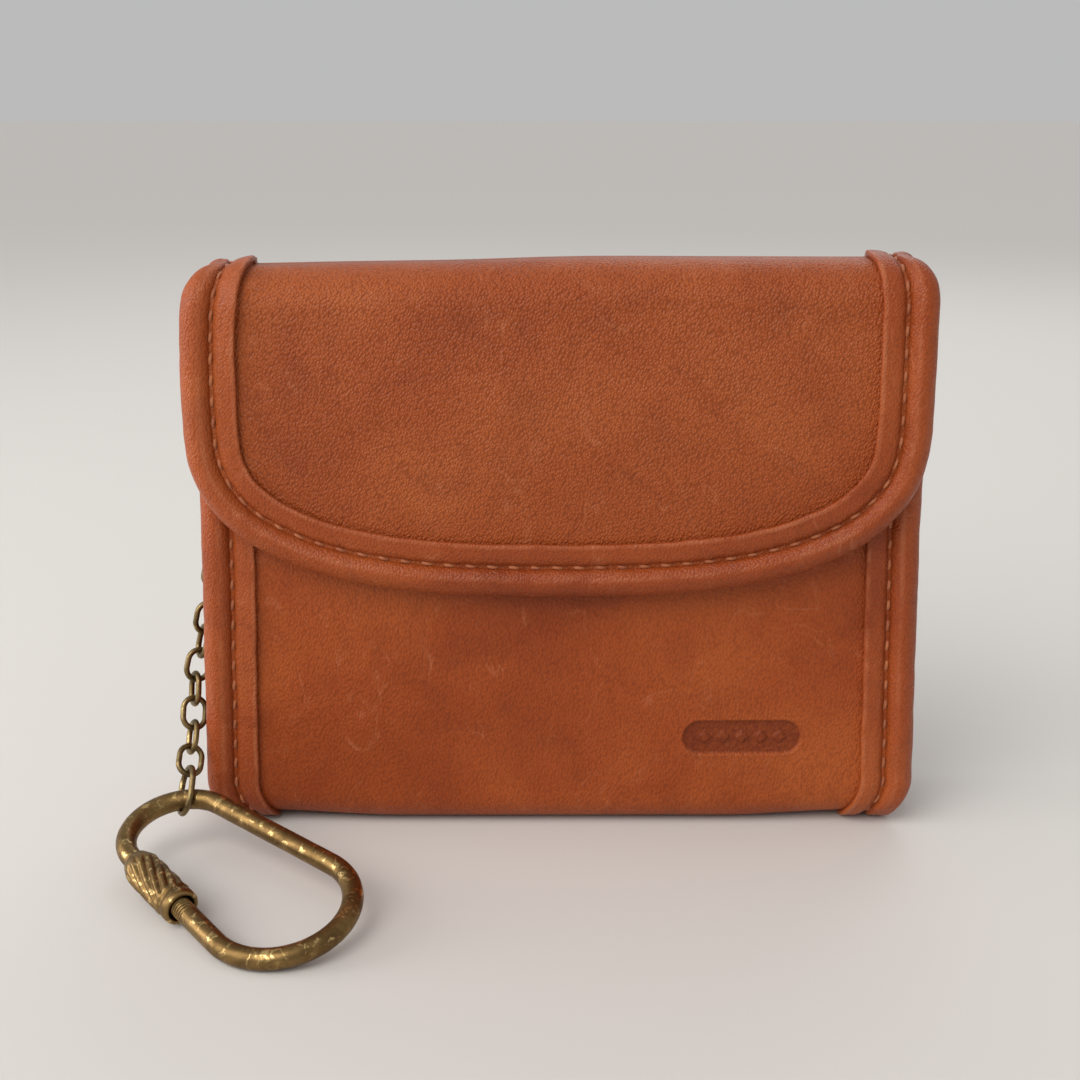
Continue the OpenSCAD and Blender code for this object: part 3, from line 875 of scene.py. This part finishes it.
def ground_lift(line):
    """Presses the outer side of a side binding level with its flat strip where it meets the ground."""
    def lift(x, s, d, h):
        near = 1 - step(0, 8, line.at(s)[1])
        return 0.0, -near * max(0.0, h - 0.9)
    return lift


def over_corner(z, d, h):
    """Where a binding turns over the top, its bead is drawn in and flattened."""
    near = arc_in(z, BEAD_CORNER_H)
    bead = near * step(5.0, 3.0, d)
    return 1.9 * near * max(0.0, 1 - d / 4.6), -0.6 * bead * max(0.0, h)


def flap_lift(x, s, d, h):
    """Rounds the top corners, and lets the strip's inner edge stand up a little at the left."""
    more_d, more_h = over_corner(FLAP.at(s)[1], d, h)
    if x < 0 and h > -0.2:
        more_h += 0.4 * step(flap_s(66), flap_s(FOLD_Z + 1), s) * step(5.0, 8.5, d)
    return more_d, more_h


def back_lift(x, s, d, h):
    more_d, more_h = over_corner(BACK.at(s)[1], d, h)
    ground_d, ground_h = ground_lift(BACK)(x, s, d, h)
    return more_d + ground_d, more_h + ground_h


def build_leathers():
    stack = LEATHER + LINING
    back_rows = line_steps(BACK, 1.2, [(BACK.length - 14, BACK.length, 0.6)])
    wide = np.linspace(-1, 1, 84)
    back = hide_sheet("back_leather", on_back, back_edge_x, back_rows, wide, LEATHER, HIDE)
    finish_piece(back, nodes=["back_panel"], bend=TOP_BEND)
    front = hide_sheet("front_leather", on_front, front_edge_x, front_rows(), front_columns(), LEATHER,
                       FRONT_HIDE, plaque_dent)
    mark_pressed(front)
    finish_piece(front, nodes=["front_panel"], bend=LOW_BEND)
    flap = flap_sheet("flap_leather", 0.0, LEATHER, UNDER, HIDE)
    finish_piece(flap, "flap", ["flap_panel"])
    lining = flap_sheet("flap_lining_leather", -LEATHER - 0.02, LINING, UNDER, SUEDE)
    finish_piece(lining, "flap", ["flap_lining"])

    flap_edge = flap_path()
    band = binding("flap_edge_binding", on_flap, flap_edge, stack, 1.0, flap_lift)
    finish_piece(band, "flap", ["flap_binding"])
    rows = stitches("flap_stitching", on_flap, flap_edge, stack)
    finish_piece(rows, "flap", ["flap_thread"])

    back_s = line_steps(BACK, 0.8)
    front_s = line_steps(FRONT, 0.8)
    for side, word in ((-1, "left"), (1, "right")):
        path = side_path(back_edge_x, back_s, side)
        band = binding(f"back_edge_binding_{word}", on_back, path, stack, 30.0 + side, back_lift)
        finish_piece(band, nodes=[f"back_binding_{word}"], bend=TOP_BEND)
        path = side_path(front_edge_x, front_s, side)
        band = binding(f"front_edge_binding_{word}", on_front, path, stack, 50.0 + side, ground_lift(FRONT))
        finish_piece(band, nodes=[f"front_binding_{word}"], bend=LOW_BEND)
    rows = join("back_stitching", [
        stitches(f"back_row_{side}", on_back, side_path(back_edge_x, back_s, side), stack)
        for side in (-1, 1)])
    finish_piece(rows, nodes=["back_thread"], bend=TOP_BEND)
    rows = join("front_stitching", [
        stitches(f"front_row_{side}", on_front, side_path(front_edge_x, front_s, side), stack)
        for side in (-1, 1)])
    finish_piece(rows, nodes=["front_thread"], bend=LOW_BEND)


build_leathers()


# ---- Gussets, pocket, tongue ----

GUSSET_TOP = high("gusset_left")[2]
GUSSET_FOLD = 7.0
THIN = 0.9


def wall_y_at(z):
    """Depth of the outer leather's inner face from the middle, at height z."""
    if z < FOLD_R:
        return WALL_Y + math.sqrt(max(0.0, (FOLD_R - LEATHER) ** 2 - (FOLD_R - z) ** 2))
    return WALL_Y + FOLD_R - LEATHER - (z - FOLD_R) * math.tan(math.radians(LEAN))


def build_gussets():
    """Two soft leaves a side, sewn to the panels and folded inward down the middle."""
    def place(side, shift):
        def at(z, u):
            half = wall_y_at(z) + 0.3
            depth = GUSSET_FOLD * (1 - abs(u) ** 1.5) * step(1.6, 12, z)
            crease = 0.5 * bump(u * 9, z, side, 9, 4.4) * (1 - u * u)
            x = BODY_HALF - 4.6 - depth - crease - shift
            return side * x, u * half, z
        return at

    heights = np.linspace(LEATHER + 0.3, GUSSET_TOP + 1.5, 48)
    across = np.linspace(-1, 1, 40)
    for side, word in ((-1, "left"), (1, "right")):
        obj = shell(f"side_gusset_{word}", heights, across, place(side, 0.0), place(side, THIN), HIDE)
        half = wall_y_at(30.0)
        finish_piece(obj, nodes=[f"gusset_{word}"],
                     bend=("purse", "front", (0, half, 30), (0, -half, 30)))


def build_pocket():
    """A slip pocket on the back's inner face, with a turned upper edge."""
    lo, hi = low("inner_pocket"), high("inner_pocket")

    def place(h):
        def at(z, u):
            swell = 0.5 * (1 - u * u) * step(lo[2], lo[2] + 14, z)
            roll = 0.35 * step(hi[2] - 2.2, hi[2] - 1.2, z) * step(hi[2], hi[2] - 0.6, z)
            y = wall_y_at(z) - 0.25 - h - swell - (roll if h > 0.5 else 0.0)
            return u * hi[0], y, z
        return at

    heights = np.linspace(lo[2], hi[2], 60)
    obj = shell("slip_pocket", heights, np.linspace(-1, 1, 60), place(0.0), place(THIN), SUEDE)
    finish_piece(obj, "purse", ["inner_pocket"])


def joint_point(name):
    return np.array(JOINTS[name]["pos_m"]) / MM


def build_tongue():
    """A doubled leather tongue with a hole, from the gusset's fold to the jump ring."""
    hole = joint_point("jump_ring_swing")
    pin = unit(JOINTS["jump_ring_swing"]["axis"])
    lo, hi = low("chain_tab"), high("chain_tab")
    inward = unit(np.array([hi[0] - lo[0], hi[1] - lo[1], 0]) * [1, -1, 0])
    if abs(inward @ pin) < 0.5:
        inward = unit([pin[0], pin[1], 0]) * (1 if pin[0] > 0 else -1)
    thick = np.cross(inward, [0, 0, 1])
    outline = []
    for a in np.linspace(90, 270, 25):
        c, d = direction(a)
        outline.append((-0.1 + 2.3 * c, 0.3 + 2.5 * d))
    outline = [(7.2, 2.8)] + outline + [(7.2, -2.2)]
    hole_r = 0.85
    ring = [tuple(hole_r * direction(a)) for a in np.linspace(90, 270, 25)]
    ring = [(hole_r, hole_r)] + ring + [(hole_r, -hole_r)]
    points, faces = [], []
    for h in (-0.8, 0.8):
        for loop in (outline, ring):
            points += [hole + inward * u + np.array([0, 0, 1]) * v + thick * h for u, v in loop]
    count = len(outline)
    for j in range(count - 1):
        faces.append((j, j + 1, count + j + 1, count + j))
        faces.append((2 * count + j + 1, 2 * count + j, 3 * count + j, 3 * count + j + 1))
        faces.append((j + 1, j, 2 * count + j, 2 * count + j + 1))
        faces.append((count + j, count + j + 1, 3 * count + j + 1, 3 * count + j))
    faces.append((0, count, 2 * count - 1, count - 1))
    faces.append((2 * count, 3 * count - 1, 4 * count - 1, 3 * count))
    faces.append((count - 1, 3 * count - 1, 2 * count, 0))
    faces.append((count, 3 * count, 4 * count - 1, 2 * count - 1))
    obj = make_mesh("chain_tongue", points, faces, STRIP, smooth=False)
    bevel = obj.modifiers.new("edge", "BEVEL")
    bevel.width = 0.18 * MM
    bevel.segments = 2
    apply_modifiers(obj)
    finish_piece(obj, "purse", ["chain_tab"])


def apply_modifiers(obj):
    depsgraph = bpy.context.evaluated_depsgraph_get()
    mesh = bpy.data.meshes.new_from_object(obj.evaluated_get(depsgraph))
    obj.modifiers.clear()
    obj.data = mesh
    mesh.polygons.foreach_set("use_smooth", [True] * len(mesh.polygons))


# ---- Brass ----

def wire_rings(path, radius, sides, start):
    """Rings round a smooth closed path of points, with radius a function of (index, angle)."""
    path = np.array(path)
    tangent = np.roll(path, -1, 0) - np.roll(path, 1, 0)
    tangent /= np.linalg.norm(tangent, axis=1)[:, None]
    rings = []
    for i in range(len(path)):
        side = unit(np.cross(start, tangent[i]))
        up = np.cross(tangent[i], side)
        ring = []
        for k in range(sides):
            a = 2 * math.pi * k / sides
            ring.append(path[i] + radius(i, a) * (math.cos(a) * side + math.sin(a) * up))
        rings.append(ring)
    return rings


def loop_path(length, width, wire, over, count):
    """Middle line of a closed link in its own XZ plane, hung from the origin along +Z."""
    r = (width - wire) / 2
    top = -(over + wire) / 2 - 0.1
    straight = length - wire - 2 * r
    path = []
    for a in np.linspace(180, 360, count):
        path.append((r * math.cos(math.radians(a)), 0, top + r + r * math.sin(math.radians(a))))
    for a in np.linspace(0, 180, count):
        path.append((r * math.cos(math.radians(a)), 0, top + r + straight + r * math.sin(math.radians(a))))
    return np.array(path)


LINKS = [name for name in frame["nodes"] if name.startswith("link_")]
CHAIN = ["jump_ring"] + sorted(LINKS) + ["end_link"]
LINK_WIRE = 0.9
END_WIRE = 0.95


def build_chain():
    """Each link from its own joint to the next one, in the plane that its hinge's axis crosses."""
    tops = [joint_point(f"{name}_swing") for name in CHAIN] + [joint_point("key_ring_swing")]
    for i, name in enumerate(CHAIN):
        down = unit(tops[i + 1] - tops[i])
        normal = np.array(JOINTS[f"{name}_swing"]["axis"])
        normal = unit(normal - down * (normal @ down))
        side = np.cross(normal, down)
        if name == "jump_ring":
            r = float(np.linalg.norm(tops[1] - tops[0])) / 2
            turn = np.linspace(0, 2 * math.pi, 60, endpoint=False)
            flat = np.array([(r * math.sin(a), 0, r - r * math.cos(a)) for a in turn])
            wire = LINK_WIRE
        elif name == "end_link":
            flat = loop_path(8.25, 6.2, END_WIRE, LINK_WIRE, 30)
            wire = END_WIRE
        else:
            flat = loop_path(5.8, 4.5, LINK_WIRE, LINK_WIRE, 26)
            wire = LINK_WIRE
        path = [tops[i] + p[0] * side + p[1] * normal + p[2] * down for p in flat]

        def radius(k, a, seed=i, size=wire / 2, count=len(path)):
            return size * (1 + 0.03 * bump(k * 8.0 / count, a, seed, 1.0))

        rings = wire_rings(path, radius, 16, normal)
        obj = sweep(f"chain_{name}", rings, CHAIN_BRASS, closed=True)
        finish_piece(obj, name, [name])


# Tapered ring: the radii of its two ends, their distance apart and the wire
RING_R1 = 8.0
RING_R2 = 10.4
RING_SPAN = 24.5
RING_WIRE = 3.1
SLEEVE_LEN = 13.5
SLEEVE_START = 1.5
THREAD_LEN = 2.2
TAPER = math.asin((RING_R2 - RING_R1) / RING_SPAN)

RING_N = unit(MOUNTS["key_loop"]["axis"])
ALONG = unit(JOINTS["sleeve_turn"]["axis"])
ALONG_N = np.cross(RING_N, ALONG)
RING_X = math.cos(TAPER) * ALONG + math.sin(TAPER) * ALONG_N
RING_Y = np.cross(RING_N, RING_X)
SLEEVE_MID = joint_point("sleeve_turn")
STRAIGHT_START = SLEEVE_MID - ALONG * (SLEEVE_START + SLEEVE_LEN / 2)
SMALL_END = STRAIGHT_START + RING_R1 * (math.sin(TAPER) * RING_X + math.cos(TAPER) * RING_Y)
LARGE_END = SMALL_END + RING_SPAN * RING_X
STRAIGHT = RING_SPAN * math.cos(TAPER)


def ring_point(centre, radius, a):
    return centre + radius * (math.cos(a) * RING_X + math.sin(a) * RING_Y)


def build_key_ring():
    """One round wire: small end, plain straight, large end, then the straight with the screw thread."""
    quarter = math.pi / 2
    path = [ring_point(SMALL_END, RING_R1, a)
            for a in np.linspace(-quarter - TAPER, -3 * quarter + TAPER, 60)]
    straight = ring_point(SMALL_END, RING_R1, quarter + TAPER)
    far = ring_point(LARGE_END, RING_R2, quarter + TAPER)
    path[-1] = straight
    path += [straight + (far - straight) * t for t in np.linspace(0, 1, 24)[1:]]
    path += [ring_point(LARGE_END, RING_R2, a)
             for a in np.linspace(quarter + TAPER, -quarter - TAPER, 90)[1:]]
    thread_at = SLEEVE_START + SLEEVE_LEN
    spots = list(np.arange(STRAIGHT, thread_at + THREAD_LEN + 0.3, -0.6)[1:])
    spots += list(np.arange(thread_at + THREAD_LEN + 0.3, thread_at - 0.6, -0.055))
    spots += list(np.arange(thread_at - 0.6, 0.2, -0.8))
    places = [None] * len(path) + spots
    path += [STRAIGHT_START + ALONG * s for s in spots]

    def radius(i, a):
        size = RING_WIRE / 2
        s = places[i]
        worn = 0.012 * bump(path[i][0], path[i][1], a * 2, 2.2, 1.5)
        if s is None or s < thread_at - 0.5 or s > thread_at + THREAD_LEN:
            return size + worn
        turn = (s / 0.55 - a / (2 * math.pi)) % 1.0
        crest = max(0.0, math.cos((turn - 0.5) * 2 * math.pi)) ** 0.7
        fade = step(thread_at + THREAD_LEN, thread_at + THREAD_LEN - 0.35, s)
        return size - fade * 0.26 * (1 - crest)

    rings = wire_rings(path, radius, 40, RING_N)
    obj = sweep("key_ring_wire", rings, RING_BRASS, closed=True)
    finish_piece(obj, "key_ring", ["key_ring"])


def build_sleeve():
    """A turned sleeve with slanting rolled flutes, a shoulder, and a plain collar at its open end."""
    outer = [(0.0, 2.02), (0.05, 2.14), (0.35, 2.24), (0.8, 2.36), (1.4, 2.60), (1.9, 2.72), (2.3, 2.78)]
    outer += [(s, 2.80) for s in np.linspace(2.6, SLEEVE_LEN - 2.7, 46)]
    collar = [(2.45, 2.76), (2.3, 2.66), (2.1, 2.56), (1.9, 2.54), (1.7, 2.58), (1.5, 2.68), (1.2, 2.74),
              (0.8, 2.74), (0.4, 2.70), (0.15, 2.60), (0.03, 2.46), (0.0, 2.36)]
    outer += [(SLEEVE_LEN - d, r) for d, r in collar]
    bore = [(SLEEVE_LEN - d, r) for d, r in ((0.0, 2.12), (0.1, 2.02), (0.5, 1.98), (1.3, 1.96), (1.5, 1.62))]
    bore += [(0.25, 1.62), (0.05, 1.66), (0.0, 1.74)]
    profile = outer + bore
    side = RING_N
    up = np.cross(ALONG, side)
    base = STRAIGHT_START + ALONG * SLEEVE_START
    sides, flutes, twist = 144, 12, 0.15
    rings = []
    for index, (s, r) in enumerate(profile):
        ring = []
        cut = step(1.0, 2.6, s) * step(SLEEVE_LEN - 2.2, SLEEVE_LEN - 3.2, s) if index < len(outer) else 0.0
        for k in range(sides):
            a = 2 * math.pi * k / sides
            wave = 0.5 - 0.5 * math.cos(flutes * (a - twist * s))
            groove = 0.36 * cut * (1 - wave ** 0.55)
            ring.append(base + ALONG * s + (r - groove) * (math.cos(a) * side + math.sin(a) * up))
        rings.append(ring)
    obj = sweep("screw_sleeve", rings, RING_BRASS, closed=True)
    finish_piece(obj, "lock_sleeve", ["lock_sleeve"])


def dress_snap():
    """The snap's four turned pieces keep their shape and get the ring's metal."""
    for name in ("snap_stud", "stud_washer", "snap_socket", "socket_cap"):
        obj = frame["nodes"][name]
        obj.data.materials.clear()
        obj.data.materials.append(RING_BRASS)


build_gussets()
build_pocket()
build_tongue()
build_chain()
build_key_ring()
build_sleeve()
dress_snap()


# ---- Floor and light ----

def build_stage():
    material = bpy.data.materials.new("pale_floor")
    material.use_nodes = True
    shader = material.node_tree.nodes["Principled BSDF"]
    shader.inputs["Base Color"].default_value = (0.66, 0.64, 0.61, 1)
    shader.inputs["Roughness"].default_value = 0.7
    floor = make_mesh("floor", [(-4000, -4000, 0), (4000, -4000, 0), (4000, 4000, 0), (-4000, 4000, 0)],
                      [(0, 1, 2, 3)], material, smooth=False)


def area_light(name, place, target, size, power, tint):
    data = bpy.data.lights.new(name, "AREA")
    data.shape = "DISK"
    data.size = size
    data.energy = power
    data.color = tint
    obj = bpy.data.objects.new(name, data)
    bpy.context.scene.collection.objects.link(obj)
    obj.location = place
    look_at(obj, target)


def build_light():
    """An even studio: a soft sun from the upper left front, a weak key, and a wide panel at the left."""
    world = bpy.data.worlds.new("studio")
    world.use_nodes = True
    world.node_tree.nodes["Background"].inputs["Color"].default_value = (0.90, 0.90, 0.91, 1)
    world.node_tree.nodes["Background"].inputs["Strength"].default_value = 0.55
    bpy.context.scene.world = world
    middle = (0, 0, 0.045)
    data = bpy.data.lights.new("sun", "SUN")
    data.energy = 1.2
    data.angle = 0.9
    data.color = (1.0, 0.975, 0.94)
    sun = bpy.data.objects.new("sun", data)
    bpy.context.scene.collection.objects.link(sun)
    sun.location = (-0.5, -0.6, 0.8)
    look_at(sun, middle)
    area_light("key", (-0.32, -0.42, 0.52), middle, 0.45, 1.2, (1.0, 0.97, 0.93))
    area_light("side", (-0.6, -0.05, 0.22), middle, 0.4, 1.6, (1.0, 0.97, 0.96))
    area_light("back", (0.15, 0.5, 0.5), middle, 0.5, 0.8, (1.0, 0.98, 0.96))
    bpy.context.scene.view_settings.view_transform = "Standard"


build_stage()
build_light()
